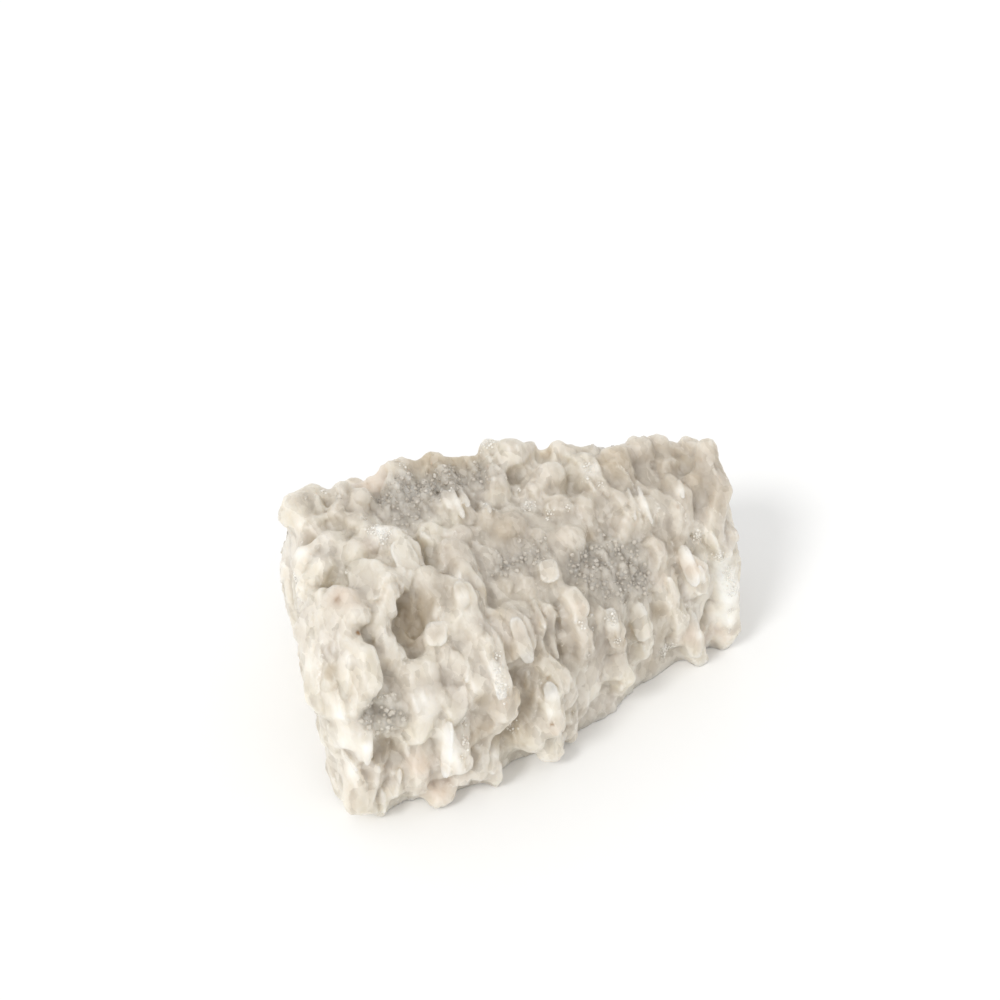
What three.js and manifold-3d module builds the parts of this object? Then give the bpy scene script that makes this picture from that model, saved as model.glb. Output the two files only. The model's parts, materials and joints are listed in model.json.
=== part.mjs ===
// A bladed quartz specimen: milky quartz that grew as plates side by side, and joined into one mass.
// It rests on its broken base. Units are millimetres, +Z is up and +X runs along the mass.
// The shape is worked out with the ground at z = 0, and is centred on the origin at the end.
import * as THREE from "three";
import { mergeVertices } from "three/addons/utils/BufferGeometryUtils.js";
import Module from "manifold-3d";

const wasm = await Module();
wasm.setup();
const { lerp, clamp, degToRad } = THREE.MathUtils;

// ------------------------------------------------------------------ driving dimensions

// The plates stand across the mass, turned from square by this slope of x against y.
const SKEW = 0.19;

// The core that the plates stand out of: station x, its front and back edges (y) and the height of its crown.
const STATIONS = [
  { x: 7, front: 14, back: 95, top: 56 },
  { x: 15, front: 10, back: 96, top: 58 },
  { x: 30, front: 7, back: 96, top: 59 },
  { x: 50, front: 7, back: 91, top: 59 },
  { x: 72, front: 8, back: 88, top: 60 },
  { x: 90, front: 13, back: 82, top: 59 },
  { x: 108, front: 21, back: 75, top: 58 },
  { x: 126, front: 26, back: 71, top: 57 },
  { x: 145, front: 30, back: 64, top: 55 },
];

// One section of it, from the front foot over the crown to the back foot: shares of the depth and height.
const SECTION = [
  [0.01, 0.0],
  [-0.01, 0.2],
  [0.02, 0.5],
  [0.1, 0.74],
  [0.28, 0.88],
  [0.5, 0.94],
  [0.75, 0.98],
  [0.94, 1.0],
  [1.0, 0.84],
  [0.99, 0.4],
  [0.93, 0.0],
];

const CORE_SLICES = 15; // sections along the core
const CORE_SIDES = 15; // points over each section
const CORE_BUMPS = 2.2; // how far the core's surface wanders
const END_DRAWN_IN = 0.14; // the share by which an end is drawn in
const END_BULGE = 4; // how far it bulges
const END_UNDERCUT = 25; // and the height below which it runs back under

const PLATE_SIDES = 8; // points round a plate's outline
const LUMP_SIDES = 7; // and round a lump's
const OUTLINE_JITTER = 0.12; // how uneven an outline is, as a share of its radius
const RIB_OVERRUN = 1.1; // a plate runs on into the mass past both ends of its rib
const DEEPEST_PLATE = 15; // how far a plate reaches in from its rib

const BACK_PITCH = 12; // from one rib of the back to the next
const SLAB_REACH = 0.42; // half the height of an end slab, as a share of its length
const LOWEST_SLAB = 12; // percentage of the way over where the lowest slab of an end lies

// Places below are written as the station x and the percentage of the way over the section, from the front
// foot at 0, by the crown at about 60, to the back foot at 100.

// Plates whose edges show as ribs: the lower and the upper end of the rib, how far it stands out, how thick
// the plate is and how far, in degrees, it lies over towards the right-hand end.
const RIBS = [
  // the broad plates of the left-hand end
  [40, 49, 31, 57, 8, 9, 35],
  [28, 38, 31, 49, 9, 8, 45],
  [19, 39, 19, 46, 10, 9, 45],
  [18, 30, 17, 38, 10, 9, 40],
  [9, 36, 9, 43, 7, 8, 20],
  [8, 31, 8, 39, 5, 6, 5],
  [7, 40, 7, 50, 5, 6, 5],
  [24, 33, 26, 38, 6, 6, 30],
  [29, 33, 28, 36, 5, 5, 20],
  // the thin blades at its foot
  [10, 23, 10, 30, 6, 7, 15],
  [13, 17, 13, 26, 6, 6, 20],
  [12, 6, 12, 16, 6, 6, 15],
  [9, 8, 9, 18, 4, 4, 5],
  [17, 1, 16, 13, 5, 4, 15],
  [21, 7, 22, 16, 4, 3, 15],
  [15, 12, 16, 17, 3, 3, 15],
  // the front, left of the long rib
  [32, 21, 32, 29, 7, 8, 25],
  [43, 21, 40, 27, 6, 8, 25],
  [40, 11, 42, 23, 8, 8, 25],
  [29, 8, 29, 19, 5, 7, 15],
  // the long rib down the middle
  [56, 43, 54, 51, 7, 10, 30],
  [50, 36, 51, 43, 8, 9, 30],
  [55, 38, 57, 45, 5, 6, 20],
  [57, 30, 54, 36, 8, 10, 25],
  [57, 19, 57, 30, 9, 9, 25],
  [44, 34, 46, 44, 6, 8, 25],
  [49, 24, 49, 32, 6, 9, 25],
  [54, 1, 52, 16, 6, 4, 15],
  [50, 0, 48, 15, 3, 6, 15],
  // the second rib and the blades beside it
  [67, 29, 66, 35, 6, 10, 25],
  [73, 30, 71, 35, 6, 3, 20],
  [77, 33, 75, 35, 5, 3, 20],
  [82, 15, 74, 26, 7, 8, 25],
  [75, 10, 70, 22, 9, 7, 10],
  [83, 0, 80, 15, 5, 5, 15],
  [86, 30, 85, 35, 6, 7, 25],
  [87, 23, 85, 31, 6, 6, 20],
  [100, 18, 97, 27, 6, 6, 20],
  [103, 9, 99, 18, 6, 8, 20],
  [94, 22, 93, 30, 3, 7, 20],
  // the ribs at the right-hand end
  [113, 13, 108, 25, 5, 7, 20],
  [127, 10, 121, 28, 5, 7, 20],
  [136, 0, 128, 19, 7, 8, 20],
  [133, 22, 129, 32, 7, 7, 25],
  [148, 0, 143, 28, 8, 9, 25],
  [143, 26, 137, 40, 6, 8, 25],
  [119, 33, 117, 38, 5, 5, 20],
  // the ribs of the crown
  [111, 42, 111, 55, 6, 6, 30],
  [106, 54, 105, 62, 6, 5, 30],
  [103, 54, 102, 57, 5, 3, 20],
  [118, 40, 116, 51, 6, 5, 25],
  [124, 40, 124, 54, 6, 8, 30],
  [130, 38, 132, 60, 6, 8, 30],
  [143, 35, 147, 67, 9, 9, 35],
  [58, 55, 56, 62, 4, 3, 30],
  [60, 58, 59, 60, 4, 3, 30],
  [54, 59, 54, 62, 4, 3, 30],
  [66, 54, 65, 56, 4, 4, 30],
  // the ridge along the back edge
  [44, 73, 66, 73, 6, 12, 0],
];

// Rounded lumps: place, how far across and how far it stands out.
const LUMPS = [
  // the left-hand end
  [7, 56, 11, 5],
  [11, 53, 8, 6],
  [6, 51, 9, 5],
  [7, 68, 14, 7],
  [12, 69, 10, 6],
  [9, 63, 8, 5],
  [22, 67, 8, 5],
  [27, 64, 8, 5],
  [19, 63, 6, 5],
  [24, 59, 9, 5],
  [15, 57, 11, 5],
  [22, 54, 10, 6],
  // the front
  [24, 26, 9, 4],
  [13, 28, 6, 4],
  [20, 25, 6, 4],
  [29, 31, 10, 6],
  [35, 31, 9, 6],
  [39, 36, 9, 5],
  [43, 32, 9, 5],
  [35, 4, 10, 6],
  [42, 9, 6, 5],
  [72, 7, 9, 7],
  // the crown
  [122, 67, 10, 8],
  [130, 69, 9, 7],
  [117, 70, 8, 3],
  [101, 64, 8, 5],
  [102, 58, 7, 5],
  [97, 53, 8, 5],
  [96, 70, 7, 6],
  [90, 62, 10, 6],
  [89, 54, 9, 5],
  [80, 69, 12, 8],
  [74, 72, 7, 7],
  [89, 46, 11, 5],
  [79, 48, 8, 4],
  [71, 52, 13, 5],
  [79, 40, 8, 4],
  [84, 59, 6, 4],
  [48, 62, 7, 3],
  [46, 55, 10, 4],
  [56, 53, 7, 4],
  [44, 72, 8, 7],
  [43, 67, 6, 4],
  [40, 71, 9, 6],
  [86, 71, 7, 6],
  [101, 71, 8, 5],
  [107, 71, 9, 5],
];

// The clefts between plates: both ends, the depth and the width.
const CLEFTS = [
  [35, 36, 37, 47, 10, 11],
  [60, 22, 60, 43, 8, 7],
  [48, 3, 48, 20, 7, 6],
  [10, 32, 9, 37, 7, 4],
  [20, 14, 20, 20, 6, 8],
  [64, 8, 64, 19, 7, 9],
  [35, 54, 31, 59, 8, 4],
  [119, 57, 113, 63, 6, 8],
  [105, 21, 104, 26, 6, 4],
  [116, 18, 114, 27, 6, 5],
  [138, 42, 138, 58, 6, 4],
  [79, 22, 75, 31, 6, 5],
];

// ------------------------------------------------------------------ chance

// A seeded random number from 0 to 1, so that the same specimen grows each time.
let seed = 41;
function random() {
  seed = (seed + 0x6d2b79f5) | 0;
  let t = Math.imul(seed ^ (seed >>> 15), 1 | seed);
  t = (t + Math.imul(t ^ (t >>> 7), 61 | t)) ^ t;
  return ((t ^ (t >>> 14)) >>> 0) / 2 ** 32;
}

const between = (low, high) => lerp(low, high, random());

// ------------------------------------------------------------------ solids

// A solid from a closed three.js geometry.
function solid(geometry) {
  geometry.deleteAttribute("normal");
  geometry.deleteAttribute("uv");
  const merged = mergeVertices(geometry, 1e-4);
  const mesh = new wasm.Mesh({
    numProp: 3,
    vertProperties: merged.attributes.position.array,
    triVerts: new Uint32Array(merged.index.array),
  });
  return new wasm.Manifold(mesh);
}

// A three.js geometry from a solid.
function geometryOf(made) {
  const { numVert, numProp, vertProperties, triVerts } = made.getMesh();
  const positions = new Float32Array(numVert * 3);
  for (let i = 0; i < numVert; i++)
    positions.set(vertProperties.subarray(i * numProp, i * numProp + 3), i * 3);
  return new THREE.BufferGeometry()
    .setAttribute("position", new THREE.BufferAttribute(positions, 3))
    .setIndex(new THREE.BufferAttribute(triVerts, 1));
}

// The closed geometry through rings of points, with a point at each end.
function throughRings(start, loops, end) {
  const sides = loops[0].length;
  const last = loops.length - 1;
  const points = [start, ...loops.flat(), end];
  const at = (k, j) => 1 + k * sides + (j % sides);
  const faces = [];
  for (let j = 0; j < sides; j++) {
    faces.push(0, at(0, j + 1), at(0, j));
    for (let k = 0; k < last; k++) {
      faces.push(at(k, j), at(k, j + 1), at(k + 1, j));
      faces.push(at(k, j + 1), at(k + 1, j + 1), at(k + 1, j));
    }
    faces.push(points.length - 1, at(last, j), at(last, j + 1));
  }
  return new THREE.BufferGeometry().setFromPoints(points).setIndex(faces);
}

// Solids joined into one, two by two.
function grownTogether(solids) {
  let parts = solids;
  while (parts.length > 1) {
    const pairs = [];
    for (let i = 0; i < parts.length; i += 2)
      pairs.push(i + 1 < parts.length ? parts[i].add(parts[i + 1]) : parts[i]);
    parts = pairs;
  }
  return parts[0];
}

// ------------------------------------------------------------------ the core

const sectionCurve = new THREE.CatmullRomCurve3(
  SECTION.map(([depth, height]) => new THREE.Vector3(0, depth, height)),
  false,
  "centripetal",
);

// The front, back or top of the core at station x.
function edgeAt(edge, x) {
  const next = STATIONS.findIndex((s) => s.x >= x);
  const i = next < 0 ? STATIONS.length - 1 : Math.max(next, 1);
  const [a, b] = [STATIONS[i - 1], STATIONS[i]];
  return lerp(a[edge], b[edge], (x - a.x) / (b.x - a.x));
}

// The point of the core at station x, a share v of the way over.
function surface(x, v) {
  const share = sectionCurve.getPoint(clamp(v, 0, 1));
  const y = lerp(edgeAt("front", x), edgeAt("back", x), share.y);
  return new THREE.Vector3(x + SKEW * y, y, edgeAt("top", x) * share.z);
}

// The surface's own directions there: along the mass, over it, and outwards.
function directions(x, v) {
  const step = 0.01;
  const over = surface(x, v + step).sub(surface(x, v - step)).normalize();
  const along = new THREE.Vector3(1, 0, 0).addScaledVector(over, -over.x).normalize();
  const out = new THREE.Vector3().crossVectors(along, over).normalize();
  return { along, over, out };
}

// One section of the core. Its feet stay on the ground, and the rest wanders a little.
function coreLoop(x) {
  return Array.from({ length: CORE_SIDES }, (_, j) => {
    const v = 1 - j / (CORE_SIDES - 1);
    const bump = between(-CORE_BUMPS, CORE_BUMPS);
    const p = surface(x, v);
    if (v === 0 || v === 1) p.y += bump;
    else p.addScaledVector(directions(x, v).out, bump);
    return p;
  });
}

const middleOf = (loop) =>
  loop.reduce((sum, p) => sum.add(p), new THREE.Vector3()).divideScalar(loop.length);

// The rounding of an end: its section drawn in towards the middle and moved out, less so low down.
function endLoop(loop, outwards) {
  const middle = middleOf(loop).setZ(0);
  return loop.map((p) => {
    const q = p.clone().lerp(middle, END_DRAWN_IN);
    q.x += outwards * END_BULGE * clamp(p.z / END_UNDERCUT, 0, 1) * between(0.6, 1.4);
    return q;
  });
}

const FIRST_STATION = STATIONS[0].x;
const LAST_STATION = STATIONS.at(-1).x;

function core() {
  const share = (_, i) => i / CORE_SLICES;
  const xs = Array.from({ length: CORE_SLICES + 1 }, share).map((t) => lerp(FIRST_STATION, LAST_STATION, t));
  const loops = xs.map(coreLoop);
  const first = endLoop(loops[0], -1);
  const last = endLoop(loops.at(-1), 1);
  return solid(throughRings(middleOf(first), [first, ...loops, last], middleOf(last)));
}

// ------------------------------------------------------------------ plates, lumps and clefts

// From one broad face to the other: share of the radius, share of half the thickness.
const PLATE_RINGS = [
  [0.96, -0.55],
  [1.0, 0.45],
];
const LUMP_RINGS = [
  [1.0, 0.05],
  [0.66, 0.74],
];

// A lens with an uneven outline. ways are its own directions: along it, across it and through it. The sizes
// are its length, half its height across and its thickness.
function lens(profile, sides, centre, ways, [long, reach, thick]) {
  const [longWay, acrossWay, throughWay] = ways;
  const at = (radius, angle, height) =>
    centre
      .clone()
      .addScaledVector(longWay, radius * Math.cos(angle) * (long / 2))
      .addScaledVector(acrossWay, radius * Math.sin(angle) * reach)
      .addScaledVector(throughWay, height * (thick / 2));
  const outline = Array.from({ length: sides }, () => between(1 - OUTLINE_JITTER, 1 + OUTLINE_JITTER));
  const turn = between(0, 1);
  const loops = profile.map(([share, height]) =>
    outline.map((radius, j) => at(radius * share, ((j + turn) / sides) * 2 * Math.PI, height)),
  );
  return solid(throughRings(at(0, 0, -1), loops, at(0, 0, 1)));
}

// A line over the mass between two places: its middle, its length, and its directions along the line, outwards
// and square to both. The last two lie over by tip degrees.
function line([x0, over0, x1, over1], tip) {
  const [low, high] = [surface(x0, over0 / 100), surface(x1, over1 / 100)];
  const [x, v] = [(x0 + x1) / 2, (over0 + over1) / 200];
  const { out } = directions(x, v);
  const longWay = high.clone().sub(low).normalize();
  const roll = new THREE.Quaternion().setFromAxisAngle(longWay, degToRad(tip));
  const acrossWay = out.clone().addScaledVector(longWay, -out.dot(longWay)).normalize();
  const throughWay = new THREE.Vector3().crossVectors(longWay, acrossWay);
  const ways = [longWay, acrossWay.applyQuaternion(roll), throughWay.applyQuaternion(roll)];
  return { middle: surface(x, v), length: low.distanceTo(high), out, ways };
}

function rib([x0, over0, x1, over1, stand, thick, tip]) {
  const { middle, length, out, ways } = line([x0, over0, x1, over1], tip);
  const long = length * RIB_OVERRUN + thick;
  const reach = clamp(long * 0.5, stand + 3, DEEPEST_PLATE);
  const centre = middle.addScaledVector(out, stand).addScaledVector(ways[1], -reach);
  return lens(PLATE_RINGS, PLATE_SIDES, centre, ways, [long, reach, thick]);
}

function cleft([x0, over0, x1, over1, depth, width]) {
  const { middle, length, ways } = line([x0, over0, x1, over1], 0);
  return lens(PLATE_RINGS, PLATE_SIDES, middle, ways, [length + width, depth, width]);
}

function lump([x, over, across, stand]) {
  const { along, over: overWay, out } = directions(x, over / 100);
  const centre = surface(x, over / 100).addScaledVector(out, stand - across / 2);
  return lens(LUMP_RINGS, LUMP_SIDES, centre, [along, overWay, out], [across, across / 2, across]);
}

// ------------------------------------------------------------------ the back and the ends

// Two rows of ribs, each given by the percentages where its ribs start and end.
const BACK_ROWS = [
  [97, 86],
  [86, 77],
];

function backRibs() {
  const made = [];
  for (const [low, high] of BACK_ROWS)
    for (let x = FIRST_STATION; x < LAST_STATION; x += BACK_PITCH * between(0.85, 1.15)) {
      const upperX = x + between(-3, 3);
      const ends = [x, low + between(-3, 3), upperX, high + between(-3, 3)];
      made.push(rib([...ends, between(3, 6), between(6, 10), between(-25, 25)]));
    }
  return made;
}

// A broad slab lying on an end: percentage of the way over, share of the way from the middle of the end to
// its edge, how far across and how far it stands out.
function endSlab(x, outwards, [over, share, across, stand]) {
  const middle = middleOf([surface(x, 0), surface(x, 0.5), surface(x, 1)]);
  const thick = across * 0.3;
  const centre = middle.lerp(surface(x, over / 100), share);
  centre.x += outwards * (stand - thick / 2);
  const throughWay = new THREE.Vector3(1, between(-0.2, 0.1), between(-0.15, 0.15)).normalize();
  const longWay = new THREE.Vector3(0, between(-0.4, 0.4), 1).cross(throughWay).normalize();
  const acrossWay = new THREE.Vector3().crossVectors(throughWay, longWay);
  const ways = [longWay, acrossWay, throughWay];
  return lens(PLATE_RINGS, PLATE_SIDES, centre, ways, [across, across * SLAB_REACH, thick]);
}

// The slabs of one end: its station, which way it faces, how many there are and how far across the widest is.
function endSlabs(x, outwards, count, widest) {
  return Array.from({ length: count }, (_, i) => {
    const over = lerp(LOWEST_SLAB, 100 - LOWEST_SLAB, (i + between(0.2, 0.8)) / count);
    return endSlab(x, outwards, [over, between(0.35, 0.75), widest * between(0.6, 1), between(3, 5.5)]);
  });
}

// ------------------------------------------------------------------ the whole mass

const grown = grownTogether([
  core().subtract(grownTogether(CLEFTS.map(cleft))),
  ...RIBS.map(rib),
  ...LUMPS.map(lump),
  ...backRibs(),
  ...endSlabs(FIRST_STATION, -1, 9, 32),
  ...endSlabs(LAST_STATION, 1, 6, 24),
]);

// The mass is broken off flat underneath. A sliver that the break leaves loose isn't part of it.
const below = new THREE.BoxGeometry(400, 400, 60).translate(0, 0, -30);
const pieces = grown.subtract(solid(below)).decompose();
const whole = geometryOf(pieces.reduce((a, b) => (b.volume() > a.volume() ? b : a)));

whole.computeBoundingBox();
const centre = whole.boundingBox.getCenter(new THREE.Vector3());
whole.translate(-centre.x, -centre.y, 0);

const milkyQuartz = new THREE.MeshStandardMaterial({ color: 0xe2dbcd, roughness: 0.45, metalness: 0 });
const mass = new THREE.Mesh(whole, milkyQuartz);
mass.name = "quartz_mass";
const specimen = new THREE.Group();
specimen.add(mass);
export default specimen;
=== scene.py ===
# %% [markdown]
# # A bladed quartz specimen
# The stone is milky quartz that grew as thin plates, side by side, and closed up into one mass. Its plates
# end in ribs, rounded lumps sit between them, and a sparkling crust of tiny crystals, called druse, covers
# the rims and the grey hollows. This file dresses the solid model of it, step by step.

# %% Load the solid model
import json
import math

import bmesh
import bpy
import numpy as np
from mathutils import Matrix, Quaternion, Vector, noise
from mathutils.bvhtree import BVHTree
from mathutils.kdtree import KDTree

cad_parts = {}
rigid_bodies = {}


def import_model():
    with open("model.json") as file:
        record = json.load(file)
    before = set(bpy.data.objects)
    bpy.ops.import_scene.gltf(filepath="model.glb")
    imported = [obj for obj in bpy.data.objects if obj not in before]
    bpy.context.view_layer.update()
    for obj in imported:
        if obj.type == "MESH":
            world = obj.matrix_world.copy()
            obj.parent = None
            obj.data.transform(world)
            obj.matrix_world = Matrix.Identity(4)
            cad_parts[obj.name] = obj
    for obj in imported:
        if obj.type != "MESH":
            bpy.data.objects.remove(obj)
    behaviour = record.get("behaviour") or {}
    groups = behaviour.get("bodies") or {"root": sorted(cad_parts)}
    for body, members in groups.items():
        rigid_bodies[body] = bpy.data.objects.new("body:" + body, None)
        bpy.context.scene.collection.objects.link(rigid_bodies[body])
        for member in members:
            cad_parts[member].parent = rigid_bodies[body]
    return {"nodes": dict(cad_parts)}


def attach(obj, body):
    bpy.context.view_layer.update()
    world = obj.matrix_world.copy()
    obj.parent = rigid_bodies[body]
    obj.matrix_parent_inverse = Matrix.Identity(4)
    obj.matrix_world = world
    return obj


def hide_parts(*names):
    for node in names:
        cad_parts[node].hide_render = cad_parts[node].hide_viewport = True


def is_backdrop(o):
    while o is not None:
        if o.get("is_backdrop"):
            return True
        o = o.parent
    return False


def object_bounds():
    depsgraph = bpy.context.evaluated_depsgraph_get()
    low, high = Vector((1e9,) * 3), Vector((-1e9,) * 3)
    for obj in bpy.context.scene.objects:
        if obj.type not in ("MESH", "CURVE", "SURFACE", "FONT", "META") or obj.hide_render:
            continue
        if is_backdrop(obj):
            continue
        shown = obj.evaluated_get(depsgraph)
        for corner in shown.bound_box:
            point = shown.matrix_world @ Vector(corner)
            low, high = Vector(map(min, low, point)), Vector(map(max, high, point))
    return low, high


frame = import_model()
cad_low, cad_high = (tuple(corner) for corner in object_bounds())
MM = 0.001
scene = bpy.context.scene
print("solid model, mm:", [round((h - l) / MM, 1) for l, h in zip(cad_low, cad_high)])

# %% [markdown]
# ## Helpers
# Some tools come up in every later step: colours that are written as they look and turned into light, a node
# with its links, a modifier's result as a plain mesh, and searches for what a ray meets or what is nearest.

# %% Colours and nodes
def linear(hexcode):
    """A colour written as sRGB hex, as linear light."""
    parts = [int(hexcode[i : i + 2], 16) / 255 for i in (0, 2, 4)]
    return tuple(c / 12.92 if c <= 0.04045 else ((c + 0.055) / 1.055) ** 2.4 for c in parts) + (1.0,)


def add_node(tree, kind, operation=None, settings=None, **links):
    """A new node. A link gives an input a value, or joins it to an output, or to a node's first output."""
    node = tree.nodes.new(kind)
    if operation:
        node.operation = operation
    for name, value in (settings or {}).items():
        setattr(node, name, value)
    for name, value in links.items():
        key = int(name[1:]) if name[1:].isdigit() else name.replace("_", " ")
        socket = node.inputs[key]
        if isinstance(value, bpy.types.Node):
            value = value.outputs[0]
        if isinstance(value, bpy.types.NodeSocket):
            tree.links.new(value, socket)
        else:
            socket.default_value = value
    return node

# %% Objects and modifiers
def new_object(name, data):
    made = bpy.data.objects.new(name, data)
    scene.collection.objects.link(made)
    return made


def applied(source, name, modifier):
    """A new plain object: source with its modifier's result in its mesh. Source loses the modifier."""
    evaluated = source.evaluated_get(bpy.context.evaluated_depsgraph_get())
    mesh = bpy.data.meshes.new_from_object(evaluated)
    source.modifiers.remove(modifier)
    return new_object(name, mesh)


def with_modifier(source, name, kind, **settings):
    """A new plain object: source after one modifier with these settings."""
    modifier = source.modifiers.new(kind.lower(), kind)
    for key, value in settings.items():
        setattr(modifier, key, value)
    return applied(source, name, modifier)


def moved_out(source, name, distance):
    """A copy of source with every point moved along its normal."""
    mesh = source.data.copy()
    points = positions_of(mesh) + normals_of(mesh) * distance
    mesh.vertices.foreach_set("co", points.ravel())
    mesh.update()
    return new_object(name, mesh)

# %% Points and searches
def vectors_of(items, name):
    """One vector of each item, as the rows of an array."""
    flat = np.empty(len(items) * 3, dtype=np.float32)
    items.foreach_get(name, flat)
    return flat.reshape(-1, 3)


def positions_of(mesh):
    return vectors_of(mesh.vertices, "co")


def normals_of(mesh):
    return vectors_of(mesh.vertex_normals, "vector")


def ray_tree(made):
    """A tree that finds where a ray meets an object."""
    return BVHTree.FromObject(made, bpy.context.evaluated_depsgraph_get())


def near_tree(points):
    """A tree that finds the nearest of some points."""
    tree = KDTree(len(points))
    for i, point in enumerate(points):
        tree.insert(point, i)
    tree.balance()
    return tree


def discard(*helpers):
    for made in helpers:
        mesh = made.data
        bpy.data.objects.remove(made)
        bpy.data.meshes.remove(mesh)

# %% [markdown]
# ## The camera
# A camera is an object with a lens. This one stands in front of the stone, a little to its left, and looks
# down at it from halfway up. It is made early, because the features are placed along its sight lines.

# %% The camera
PICTURE = 1000  # the picture's side in pixels
CAMERA_AT = Vector((-151.0, -318.3, 369.4)) * MM
CAMERA_LOOKS = Vector((0.3172, 0.6944, -0.6459))
LENS, SENSOR = 54.0, 36.0  # focal length and the sensor's width
PIXELS = LENS / SENSOR * PICTURE  # pixels for one unit across at one unit away

camera = new_object("camera", bpy.data.cameras.new("camera"))
scene.camera = camera
camera.data.lens = LENS
camera.data.sensor_width = SENSOR
camera.data.clip_start = 0.01
camera.location = CAMERA_AT
camera.rotation_mode = "QUATERNION"
camera.rotation_quaternion = CAMERA_LOOKS.to_track_quat("-Z", "Y")
print("camera looks down by, degrees:", round(math.degrees(math.asin(-CAMERA_LOOKS.normalized().z)), 1))


def sight_line(x, y):
    """The direction in which the camera sees a picture point, counted in pixels from the top left."""
    across, up = (x - PICTURE / 2) / PIXELS, (PICTURE / 2 - y) / PIXELS
    return (camera.rotation_quaternion @ Vector((across, up, -1.0))).normalized()

# %% [markdown]
# ## Two finishes
# Milky quartz is full of tiny water bubbles, so light enters it, scatters and comes out nearby: soft, waxy
# and white. Druse is the same mineral as crystals too small for light to wander in. Both materials are made
# empty here, because the trees that make geometry name them, and both get their nodes further down.

# %% Empty materials
milky_quartz = bpy.data.materials.new("milky_quartz")
druse_quartz = bpy.data.materials.new("druse_quartz")
for material in (milky_quartz, druse_quartz):
    material.use_nodes = True
    print("material:", material.name)

# %% [markdown]
# ## The mass
# The solid model has large flat facets, and a real stone has none. Sculpting by hand could not be repeated,
# so the mass is regrown by rule. First come round bodies on the floors of the deepest hollows, which are too
# deep in the solid. A voxel remesh then gives fine even faces. Moving them out and back again closes narrow
# gaps, as growth does, and smoothing takes off the corners. A very smooth copy tells which way is out.

# %% Round bodies
BOXY = 3  # 2 leaves a ball round, more makes it squarer
ball = bmesh.new()
bmesh.ops.create_icosphere(ball, subdivisions=3, radius=1.0)
round_points = np.array([v.co[:] for v in ball.verts])
round_faces = np.array([[v.index for v in f.verts] for f in ball.faces])
ball.free()
squared_points = round_points / ((np.abs(round_points) ** BOXY).sum(axis=1) ** (1 / BOXY))[:, None]
print("faces of a round body:", len(round_faces))


def add_bodies(made, bodies):
    """Joins an object's loose triangles and adds round bodies to it, given by their points."""
    faces = [round_faces + i * len(round_points) for i in range(len(bodies))]
    mesh = bpy.data.meshes.new("bodies")
    mesh.from_pydata(np.concatenate(bodies).tolist(), [], np.concatenate(faces).tolist())
    joined = bmesh.new()
    joined.from_mesh(made.data)
    bmesh.ops.remove_doubles(joined, verts=joined.verts, dist=1e-6)
    joined.from_mesh(mesh)
    joined.to_mesh(made.data)
    joined.free()

# %% Even faces
EVEN = 0.5 * MM  # the side of a face before anything grows on it
CLOSED = 2.5 * MM  # gaps narrower than twice this close up
EVEN_PASSES, CALM_PASSES = 6, 70  # of smoothing, for the mass and for its very smooth copy
RIGHT, UP = (camera.rotation_quaternion @ Vector(axis) for axis in ((1, 0, 0), (0, 1, 0)))  # of the picture
FILLS = (  # on the floors of the hollows: x, y, half width and half height in pixels, and how far out in mm
    (414, 612, 22, 42, 6.5), (384, 745, 16, 16, 5), (528, 714, 18, 36, 9), (480, 752, 10, 26, 5),
    (612, 469, 14, 20, 5), (695, 497, 9, 24, 3), (706, 459, 9, 17, 2.5), (375, 491, 10, 14, 2),
    (354, 792, 9, 20, 2), (449, 676, 14, 18, 4), (470, 720, 12, 24, 3), (406, 594, 18, 20, 5),
    (386, 694, 14, 14, 5.5), (425, 598, 12, 28, 4.5), (338, 574, 12, 12, 3),
)

facets = new_object("facets", frame["nodes"]["quartz_mass"].data.copy())
floor_tree = ray_tree(facets)
fills = []
for x, y, wide, high, depth in FILLS:
    ray = sight_line(x, y)
    hit, _, _, distance = floor_tree.ray_cast(CAMERA_AT, ray)
    wide, high = wide * distance / PIXELS, high * distance / PIXELS
    axes = np.array((RIGHT * wide, UP * high, -ray * (depth * MM)))
    fills.append(squared_points @ axes + np.array(hit))
add_bodies(facets, fills)
blocky = with_modifier(facets, "blocky", "REMESH", mode="VOXEL", voxel_size=EVEN)
swollen = moved_out(blocky, "swollen", CLOSED)
skinned = with_modifier(swollen, "skinned", "REMESH", mode="VOXEL", voxel_size=EVEN)
evened = with_modifier(skinned, "evened", "SMOOTH", factor=0.5, iterations=2)
filled = moved_out(evened, "filled", -CLOSED)
even = with_modifier(filled, "even", "SMOOTH", factor=0.5, iterations=EVEN_PASSES)
calm = with_modifier(even, "calm", "SMOOTH", factor=0.5, iterations=CALM_PASSES)
discard(facets, blocky, swollen, skinned, evened, filled)
print("even faces:", len(even.data.polygons))

# %% [markdown]
# ## Lobes in known places
# The front of the stone has petals and lobes that can be told apart, so those are set one by one. A loose
# body set on a curved skin looks stuck on, while a real lobe has grown out of the skin and follows it. So a
# lobe here is a swelling: inside its outline the skin rises by a low dome. Its row gives where the camera
# sees its middle, its length and width as seen, how far it rises in mm and, for some, how far it is turned
# from upright (clockwise) and how much more than others it leans to the right. Its depth comes from the skin
# itself, so it sits on the stone from all sides.

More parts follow.
